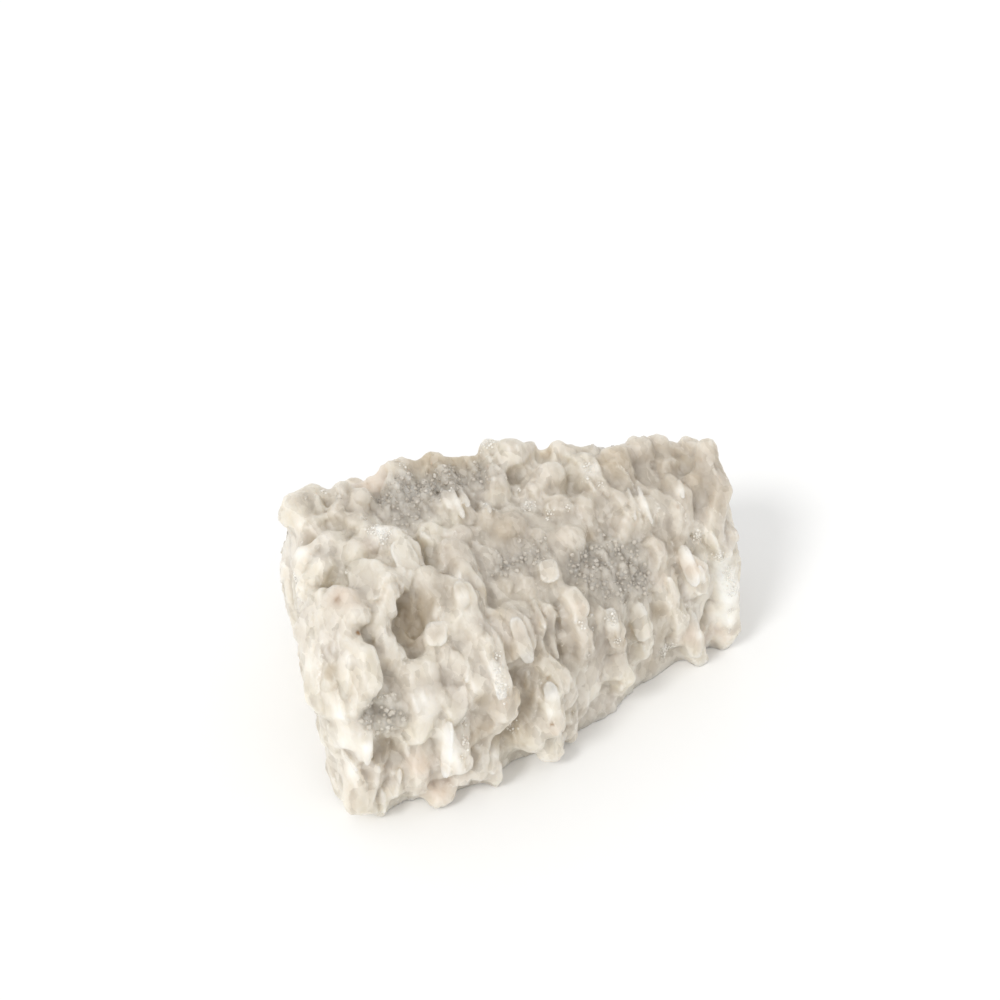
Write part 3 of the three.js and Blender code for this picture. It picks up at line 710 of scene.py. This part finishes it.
def paint(mesh, name, values):
    """Keeps one number a vertex as an attribute of the mesh."""
    layer = mesh.attributes.get(name) or mesh.attributes.new(name, "FLOAT", "POINT")
    layer.data.foreach_set("value", np.asarray(values, dtype=np.float32))

# %% Push the skin
DOME = 0.35  # a dome's middle is this high, for a height of 1, and it falls with its width squared
MELTED = 0.2  # how softly the domes meet
LEAST_GRAIN = 0.12  # how much of the beads the smoothest parts have

relief, given, relief_out = new_tree("skin_relief", {
    "Lump Size": 3.4 * MM, "Lump Height": 0.2 * MM, "Bead Size": 2.7 * MM, "Bead Height": 2 * MM, "Long": 0.6,
})
here = add_node(relief, "GeometryNodeInputPosition")
long_way = add_node(relief, "ShaderNodeCombineXYZ", _0=1.0, _1=given["Long"], _2=given["Long"])
turned = add_node(relief, "ShaderNodeVectorMath", "MULTIPLY", _0=here, _1=long_way)


def domes(size, height):
    """Rounded cells of that size side by side, as a height over the skin."""
    scale = add_node(relief, "ShaderNodeMath", "DIVIDE", _0=1.0, _1=given[size])
    cells = add_node(
        relief, "ShaderNodeTexVoronoi", settings={"feature": "SMOOTH_F1"},
        Vector=turned, Scale=scale, Smoothness=MELTED,
    )
    away = cells.outputs["Distance"]
    squared = add_node(relief, "ShaderNodeMath", "MULTIPLY", _0=away, _1=away)
    shape = add_node(relief, "ShaderNodeMath", "SUBTRACT", _0=DOME, _1=squared)
    return add_node(relief, "ShaderNodeMath", "MULTIPLY", _0=shape, _1=given[height])


grain = add_node(relief, "GeometryNodeInputNamedAttribute", Name="grain")
lumps, beads = domes("Lump Size", "Lump Height"), domes("Bead Size", "Bead Height")
push = add_node(relief, "ShaderNodeMath", "MULTIPLY_ADD", _0=beads, _1=grain, _2=lumps)
direction = add_node(relief, "GeometryNodeInputNormal")
offset = add_node(relief, "ShaderNodeVectorMath", "SCALE", _0=direction, Scale=push)
pushed = add_node(relief, "GeometryNodeSetPosition", Geometry=given["Geometry"], Offset=offset)
finished = add_node(relief, "GeometryNodeSetMaterial", Geometry=pushed, Material=milky_quartz)
relief.links.new(finished.outputs[0], relief_out)

rough = np.maximum(soft_patches(soft_points, marks["grey"]), soft_patches(soft_points, marks["glitter"]))
paint(soft.data, "grain", LEAST_GRAIN + rough)
rough_skin = through_tree(soft, "rough_skin", relief)
print("mean grain:", round(float(rough.mean()), 2))
discard(soft)

# %% Thin the skin to its share of faces
MOST_FACES = 196000  # triangles
FOOT = 0.0  # the stone rests on this height

faces_now = sum(len(face.vertices) - 2 for face in rough_skin.data.polygons)
skin = with_modifier(rough_skin, "quartz_skin", "DECIMATE", ratio=min(1.0, MOST_FACES / faces_now))
discard(rough_skin)
points = positions_of(skin.data)
points[:, 2] = np.maximum(points[:, 2], FOOT)
skin.data.vertices.foreach_set("co", points.ravel())
skin.data.update()
skin.data.polygons.foreach_set("use_smooth", [True] * len(skin.data.polygons))
print("skin:", len(skin.data.polygons), "faces of", faces_now)

# %% [markdown]
# ## Where the stone changes colour
# Each reason for a change of colour is a number from 0 to 1 on every point of the skin. Two come from the
# shape and paint light and shade into the colour: how far a point stands out of the shape round it, which
# lightens crests and darkens grooves, and how much of the sky it sees, which darkens the recesses. Two come
# from the lobes: how milky each one is, with painted shade in the gaps between them, and how thin its right
# edge, where painted light stands for light through the thin edge and for white wear. The others are the
# patches.

# %% Standing out and seeing the sky
RELIEF = 0.8 * MM  # a point this far out of the smoothed shape counts as fully out
SKY_REACH = 14 * MM  # walls further away than this don't darken a point
SKY_RAYS, SKY_LIFT = 12, 0.3 * MM  # how many from a point, and how far out of the skin they start
SLACK_PASSES, BLEND_PASSES = 30, 3  # of smoothing, for the shape and for what it sees

slack = with_modifier(skin, "slack", "SMOOTH", factor=0.5, iterations=SLACK_PASSES)
points, normals = positions_of(skin.data), normals_of(skin.data)
out_by = ((points - positions_of(slack.data)) * normals).sum(axis=1)
discard(slack)
# painted light and shade: crests get a lighter tint, grooves a darker one
paint(skin.data, "relief", np.clip(out_by / RELIEF, -1, 1) * 0.5 + 0.5)

skin_tree = ray_tree(skin)
golden = math.pi * (3 - math.sqrt(5))
rays = []
for i in range(SKY_RAYS):
    up = math.sqrt((i + 0.5) / SKY_RAYS)
    flat = math.sqrt(1 - up * up)
    rays.append((math.cos(golden * i) * flat, math.sin(golden * i) * flat, up))
seen_sky = np.empty(len(points))
for i, (point, normal) in enumerate(zip(points, normals)):
    out = Vector(normal)
    turn_to = out.to_track_quat("Z", "Y")
    start = Vector(point) + out * SKY_LIFT
    open_rays = sum(skin_tree.ray_cast(start, turn_to @ Vector(ray), SKY_REACH)[0] is None for ray in rays)
    seen_sky[i] = open_rays / SKY_RAYS
edges = np.empty(len(skin.data.edges) * 2, dtype=np.int64)
skin.data.edges.foreach_get("vertices", edges)
one, other = edges.reshape(-1, 2).T
count = np.bincount(np.concatenate((one, other)), minlength=len(points)) + 1.0
for _ in range(BLEND_PASSES):
    total = seen_sky.copy()
    np.add.at(total, one, seen_sky[other])
    np.add.at(total, other, seen_sky[one])
    seen_sky = total / count
# painted shade: the less sky a point sees, the darker and browner its tint
paint(skin.data, "sky", seen_sky)
print("sky seen, mean:", round(float(seen_sky.mean()), 2))

# %% Patches on the skin
amount = {}
under = [grown_near.find(p)[1] for p in points]
paint(skin.data, "shade", np.clip(shade[under] / 2, -1, 1) * 0.5 + 0.5)
paint(skin.data, "edge", edge_light[under])
for kind in PATCHES:
    amount[kind] = soft_patches(points, marks[kind])
    paint(skin.data, kind, amount[kind])
    print(kind, "covers", round(float(amount[kind].mean()) * 100), "%")

# %% [markdown]
# ## Druse
# Druse is a lawn of tiny quartz points: six-sided, with a six-sided roof. One point is made, and a tree sets
# it hundreds of times where the stone is grey or glitters. Each stands nearly square to the skin, with its
# own size and turn, and takes its colours from the skin under it, with a milkiness and a gloss of its own.

# %% One crystal
SIDES = 6
ROOT, BODY = -0.8, 0.1  # heights where its sides begin and end, for a radius of 1
TIP = (0.12, 0.05, 0.75)  # no roof is quite even

turns = [k * math.tau / SIDES for k in range(SIDES)]
crystal_points = [(math.cos(turn), math.sin(turn), height) for height in (ROOT, BODY) for turn in turns]
crystal_points.append(TIP)
crystal_faces = [tuple(reversed(range(SIDES)))]
for k in range(SIDES):
    after = (k + 1) % SIDES
    crystal_faces.append((k, after, SIDES + after, SIDES + k))
    crystal_faces.append((SIDES + k, SIDES + after, 2 * SIDES))
crystal_mesh = bpy.data.meshes.new("one_crystal")
crystal_mesh.from_pydata(crystal_points, [], crystal_faces)
crystal = new_object("one_crystal", crystal_mesh)
print("faces of a crystal:", len(crystal_faces))

# %% The tree that sets crystals
DENSE = 4e6  # points a square metre, so that only their spacing limits them
TILT = 0.6  # radians that a crystal may lean

druse, given, druse_out = new_tree("druse", {
    "Spacing": 1 * MM, "Seed": 1, "Small": 0.3 * MM, "Large": 0.7 * MM,
})
spread = add_node(
    druse, "GeometryNodeDistributePointsOnFaces", settings={"distribute_method": "POISSON"},
    Mesh=given["Geometry"], Distance_Min=given["Spacing"], Density_Max=DENSE, Seed=given["Seed"],
    Density_Factor=add_node(druse, "GeometryNodeInputNamedAttribute", Name="lawn"),
)
next_seed = add_node(druse, "ShaderNodeMath", "ADD", _0=given["Seed"], _1=1.0)
tilt_x, tilt_y = (
    add_node(druse, "FunctionNodeRandomValue", _2=-TILT, _3=TILT, Seed=seed).outputs[1]
    for seed in (given["Seed"], next_seed)
)
spin = add_node(druse, "FunctionNodeRandomValue", _2=0.0, _3=math.tau, Seed=given["Seed"])
tilts = add_node(druse, "ShaderNodeCombineXYZ", _0=tilt_x, _1=tilt_y, _2=spin.outputs[1])
leaning = add_node(
    druse, "FunctionNodeRotateRotation", settings={"rotation_space": "LOCAL"},
    _0=spread.outputs["Rotation"], _1=tilts,
)
size = add_node(druse, "FunctionNodeRandomValue", _2=given["Small"], _3=given["Large"], Seed=next_seed)
one = add_node(druse, "GeometryNodeObjectInfo", Object=crystal)
lawn = add_node(
    druse, "GeometryNodeInstanceOnPoints", Points=spread.outputs["Points"], Instance=one.outputs["Geometry"],
    Rotation=leaning, Scale=size.outputs[1],
)
real = add_node(druse, "GeometryNodeRealizeInstances", Geometry=lawn)
finished = add_node(druse, "GeometryNodeSetMaterial", Geometry=real, Material=druse_quartz)
druse.links.new(finished.outputs[0], druse_out)
print("nodes of the druse tree:", len(druse.nodes))

# %% Grow the druse
GAP = 2.5 * MM  # the size of the bare spots between crystals
LOWEST = 2 * MM  # no crystal grows below this
CLEARER = 0.85  # a crystal takes this much of the tints under it

above_foot = points[:, 2] > LOWEST
speckle = np.array([noise.noise(Vector(p) / GAP) for p in points])
hollows = np.clip(amount["grey"] * 1.6 - 0.5 + speckle, 0, 1) * (amount["grey"] > 0.3)
paint(skin.data, "lawn", above_foot * hollows)
grey_druse = through_tree(
    skin, "grey_druse", druse, Spacing=1.5 * MM, Seed=3, Small=0.3 * MM, Large=0.95 * MM
)
rims = np.clip(amount["glitter"] * 1.4 - 0.4 + speckle, 0, 1) * (amount["glitter"] > 0.35)
paint(skin.data, "lawn", above_foot * rims)
rim_druse = through_tree(skin, "rim_druse", druse, Spacing=0.6 * MM, Seed=8, Small=0.2 * MM, Large=0.5 * MM)
skin_near = near_tree(points)


def for_each(values):
    """One number a crystal, kept from 0 to 1, repeated for all its points."""
    return np.repeat(np.clip(values, 0, 1), len(crystal_points))


# rim crystals are much whiter, a painted highlight for the glints on the rims
for made, white_and_highlight in ((grey_druse, 0.1), (rim_druse, 0.75)):
    number = len(made.data.polygons) // len(crystal_faces)
    under = [skin_near.find(p)[1] for p in positions_of(made.data)]
    for kind in ("grey", "brown_and_shade", "rose", "dull_and_shade"):
        paint(made.data, kind, amount[kind][under] * CLEARER)
    # the painted shade of the skin under each crystal
    paint(made.data, "sky", seen_sky[under])
    paint(made.data, "relief", np.full(len(under), 0.5))
    paint(made.data, "shade", for_each(chance.normal(0.55, 0.15, number)))
    paint(made.data, "white_and_highlight", for_each(chance.normal(white_and_highlight, 0.15, number)))
    paint(made.data, "glitter", for_each(chance.uniform(0.2, 1.0, number)))
    print(made.name, "crystals:", number)
skin.data.attributes.remove(skin.data.attributes["lawn"])
discard(crystal)

# %% [markdown]
# ## Milky quartz
# Polished milky quartz reflects a few percent (IOR 1.54) and the rest scatters inside it, red a little
# further than blue, which keeps it warm. Nature leaves it half dull, so the roughness is middling, and
# glossier where it glitters. The colour starts cream, and each number on the skin mixes in its own tint.
# The real skin is petals upon petals, down to sizes that this mesh can't carry, so the smaller ones are a
# pattern: cells, long across the mass and with wandering outlines, each with its own tone, a raised right
# side with a painted highlight and a painted shadow on its left, and a low dome. The druse has the same
# nodes, but no light wanders in it.

# %% Patterns and tints
CLOUD, MOTTLE, PORE = 14 * MM, 3.5 * MM, 0.9 * MM  # sizes of the patterns
PETAL, SCALE = 5.2 * MM, 2.0 * MM  # widths of the overlapping petals, large and small
PETAL_LONG = 0.6  # their width as a part of their length across the mass
WAVER = 2.4 * MM  # how far their outlines wander
RIGHTWARD = (1.0, 0.0, 0.35)  # a petal's raised side lies to the right and a little up
RISING = 0.8  # how much higher it is there
WANDERS = 7 * MM  # how far light goes inside
COLOURS_GO = (1.0, 0.95, 0.88)  # how far red, green and blue go, as parts of that

# Each tint lies over those before it, from nothing where its number is low to the most where it is high.
TINTS = (  # the number, its low and high, the most, the tint
    ("cloud", 0.35, 0.65, 1, "D4CCC1"),
    ("mottle", 0.45, 0.75, 0.35, "C8BFB0"),
    ("petal", 0.4, 0, 0.25, "B7AD9D"),
    ("petal", 0.55, 1, 0.5, "ECE6DA"),
    ("scale", 0.6, 1, 0.35, "ECE6DA"),
    # painted highlight on a petal's right side, painted shadow on its left
    ("right", 0.22, 0.5, 0.45, "F0EBE1"),
    ("right", -0.22, -0.5, 0.12, "A89E8C"),
    # each lobe's own milkiness, and painted shade in the gaps between lobes
    ("shade", 0.5, 1, 0.7, "E7E0D2"),
    ("shade", 0.5, 0, 0.7, "B2A796"),
    # painted shade where little sky is seen
    ("sky", 0.7, 0.2, 0.4, "BAAC8E"),
    # painted light on crests, painted shade in grooves
    ("relief", 0.55, 0.95, 0.35, "E5E0D8"),
    ("relief", 0.45, 0.05, 0.35, "BCAF9B"),
    # painted shade in valleys and recesses, duller tone on the crown
    ("dull_and_shade", 0, 1, 0.8, "B7AC9D"),
    ("grey", 0, 1, 0.85, "B3AB9F"),
    # brown tint: painted warm shade in recesses, warmer tone elsewhere
    ("brown_and_shade", 0, 1, 0.7, "B4A48B"),
    ("scale", 0.6, 1, 0.3, "DAD3C8"),
    ("scale", 0.4, 0, 0.25, "9F9688"),
    ("rose", 0, 1, 0.7, "D5C4B4"),
    # whiter crests and painted light on faces the lamp leaves darker
    ("white_and_highlight", 0, 1, 0.87, "FAF7F0"),
    # painted light and white wear on thin edges
    ("worn", 0, 1, 0.8, "F2EEE8"),
    ("rust", 0, 1, 1, "8E6A3E"),
)
CREAM = "DBD4C5"
print("tints:", len(TINTS))

# %% Petals
def petals(tree, where, size):
    """Overlapping petals of that size: a chance number for each, how far toward its right side, where a
    painted highlight lies and a painted shadow on the left, and its height.
    """
    cells = add_node(tree, "ShaderNodeTexVoronoi", Vector=where, Scale=1 / size).outputs
    away = add_node(tree, "ShaderNodeVectorMath", "SUBTRACT", _0=where, _1=cells["Position"])
    rightward = [part / size for part in RIGHTWARD]
    right = add_node(tree, "ShaderNodeVectorMath", "DOT_PRODUCT", _0=away, _1=rightward).outputs["Value"]
    rising = add_node(tree, "ShaderNodeMath", "MULTIPLY", _0=right, _1=RISING)
    dome = add_node(tree, "ShaderNodeMath", "MULTIPLY", _0=cells["Distance"], _1=cells["Distance"])
    own = add_node(tree, "ShaderNodeSeparateColor", Color=cells["Color"])
    return own, right, add_node(tree, "ShaderNodeMath", "SUBTRACT", _0=rising, _1=dome)

# %% The nodes of milky quartz
def fill_milky(material, milk):
    """Gives a material the nodes of milky quartz. milk says whether light wanders inside it, 1, or not, 0."""
    tree = material.node_tree
    shader = tree.nodes["Principled BSDF"]
    where = add_node(tree, "ShaderNodeTexCoord").outputs["Object"]
    clouds, mottles, pores = (
        add_node(tree, "ShaderNodeTexNoise", Vector=where, Scale=1 / size, Detail=detail, Roughness=rough)
        for size, detail, rough in ((CLOUD, 3.0, 0.5), (MOTTLE, 3.0, 0.6), (PORE, 2.0, 0.6))
    )
    grains = add_node(tree, "ShaderNodeTexVoronoi", Vector=where, Scale=1 / PORE)
    wander = add_node(
        tree, "ShaderNodeVectorMath", "SUBTRACT", _0=mottles.outputs["Color"], _1=(0.5, 0.5, 0.5)
    )
    wander = add_node(
        tree, "ShaderNodeVectorMath", "MULTIPLY_ADD", _0=wander, _1=(WAVER, WAVER, WAVER), _2=where
    )
    plates = add_node(tree, "ShaderNodeVectorMath", "MULTIPLY", _0=wander, _1=(1.0, PETAL_LONG, PETAL_LONG))
    petal, right, petal_height = petals(tree, plates, PETAL)
    scale, _, scale_height = petals(tree, plates, SCALE)

    numbers = {
        name: add_node(tree, "ShaderNodeAttribute", settings={"attribute_name": name}).outputs["Fac"]
        for name in ("shade", "sky", "relief", "edge", *PATCHES)
    }
    soft_step = {"interpolation_type": "SMOOTHSTEP"}
    speckles = add_node(
        tree, "ShaderNodeMapRange", settings=soft_step, Value=pores, _1=0.42, _2=0.6, _3=0.3, _4=1.0
    )
    # painted light through thin right edges, and white wear, in speckles
    worn = add_node(tree, "ShaderNodeMath", "MULTIPLY", _0=numbers["edge"], _1=speckles)
    numbers.update(cloud=clouds, mottle=mottles, petal=petal, scale=scale, right=right, worn=worn)
    colour = linear(CREAM)
    for name, low, high, most, tint in TINTS:
        part = add_node(
            tree, "ShaderNodeMapRange", settings=soft_step, Value=numbers[name], _1=low, _2=high, _4=most
        )
        colour = add_node(
            tree, "ShaderNodeMix", settings={"data_type": "RGBA"}, _0=part, _6=colour, _7=linear(tint)
        ).outputs[2]
    dull = add_node(
        tree, "ShaderNodeMapRange", settings=soft_step,
        Value=numbers["glitter"], _1=0.1, _2=0.8, _3=0.45, _4=0.22,
    )
    tree.links.new(colour, shader.inputs["Base Color"])
    tree.links.new(dull.outputs[0], shader.inputs["Roughness"])
    for name, value in (
        ("IOR", 1.54), ("Subsurface Weight", milk),
        ("Subsurface Radius", COLOURS_GO), ("Subsurface Scale", WANDERS),
    ):
        shader.inputs[name].default_value = value

    crinkle = add_node(tree, "ShaderNodeMath", "MULTIPLY_ADD", _0=numbers["grey"], _1=3.0, _2=1.0)
    crinkle = add_node(tree, "ShaderNodeMath", "MULTIPLY", _0=scale_height, _1=crinkle)
    glints = add_node(tree, "ShaderNodeMath", "MULTIPLY", _0=numbers["glitter"], _1=-1.0)
    glints = add_node(tree, "ShaderNodeMath", "MULTIPLY", _0=grains, _1=glints)
    bump = None
    for strength, distance, height in (  # each lies on the one before
        (0.3, 2.0, petal_height), (0.22, 0.8, crinkle), (0.3, 0.25, pores), (0.8, 0.6, glints),
    ):
        bump = add_node(
            tree, "ShaderNodeBump", Strength=strength, Distance=distance * MM, Height=height,
            **({"Normal": bump} if bump else {}),
        )
    tree.links.new(bump.outputs[0], shader.inputs["Normal"])


fill_milky(milky_quartz, 1.0)
fill_milky(druse_quartz, 0.0)
print("nodes of milky quartz:", len(milky_quartz.node_tree.nodes))

# %% [markdown]
# ## Floor and light
# The stone lies on pale paper under a white sky. One broad lamp from the left, halfway up, gives the soft
# shadow to the right; the sky fills everything else, so nothing on the stone is dark.

# %% Floor and light
LIGHT_TURN, LIGHT_HEIGHT = -66, 44  # degrees, turned as the camera is, and above the horizon
LIGHT_WIDTH = 16  # degrees of sky that the lamp fills
LAMP_POWER, SKY_POWER = 1.15, 0.84
PAPER = 3  # metres from the middle to its edge

floor_mesh = bpy.data.meshes.new("floor")
corners = [(x * PAPER, y * PAPER, 0) for x, y in ((-1, -1), (1, -1), (1, 1), (-1, 1))]
floor_mesh.from_pydata(corners, [], [(0, 1, 2, 3)])
floor = new_object("floor", floor_mesh)
paper = bpy.data.materials.new("pale_paper")
paper.use_nodes = True
shader = paper.node_tree.nodes["Principled BSDF"]
shader.inputs["Base Color"].default_value = linear("FBFBFA")
shader.inputs["Roughness"].default_value = 0.9
shader.inputs["Specular IOR Level"].default_value = 0.1
floor.data.materials.append(paper)
floor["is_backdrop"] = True

turn, height = math.radians(LIGHT_TURN), math.radians(LIGHT_HEIGHT)
to_light = Vector((math.sin(turn) * math.cos(height), -math.cos(turn) * math.cos(height), math.sin(height)))
lamp = bpy.data.lights.new("lamp", "SUN")
lamp.energy = LAMP_POWER
lamp.angle = math.radians(LIGHT_WIDTH)
sun = new_object("lamp", lamp)
sun.rotation_mode = "QUATERNION"
sun.rotation_quaternion = (-to_light).to_track_quat("-Z", "Y")
print("light from:", [round(v, 2) for v in to_light])
world = bpy.data.worlds.new("white_sky")
world.use_nodes = True
sky = world.node_tree.nodes["Background"].inputs
sky["Color"].default_value = (1, 1, 1, 1)
sky["Strength"].default_value = SKY_POWER
scene.world = world
scene.view_settings.view_transform = "Standard"

# %% [markdown]
# ## Hand over
# The skin stands for the solid model's node, and the druse sits on it. All of them ride on the one body.

# %% Hand over
for made, material in ((skin, milky_quartz), (grey_druse, druse_quartz), (rim_druse, druse_quartz)):
    made.data.materials.clear()
    made.data.materials.append(material)
    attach(made, "root")
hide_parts("quartz_mass")
seen_low, seen_high = (tuple(corner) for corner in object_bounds())
over = [round(float(v) / MM, 1) for v in (*np.subtract(cad_low, seen_low), *np.subtract(seen_high, cad_high))]
print("beyond the solid's box, mm, low then high:", over)
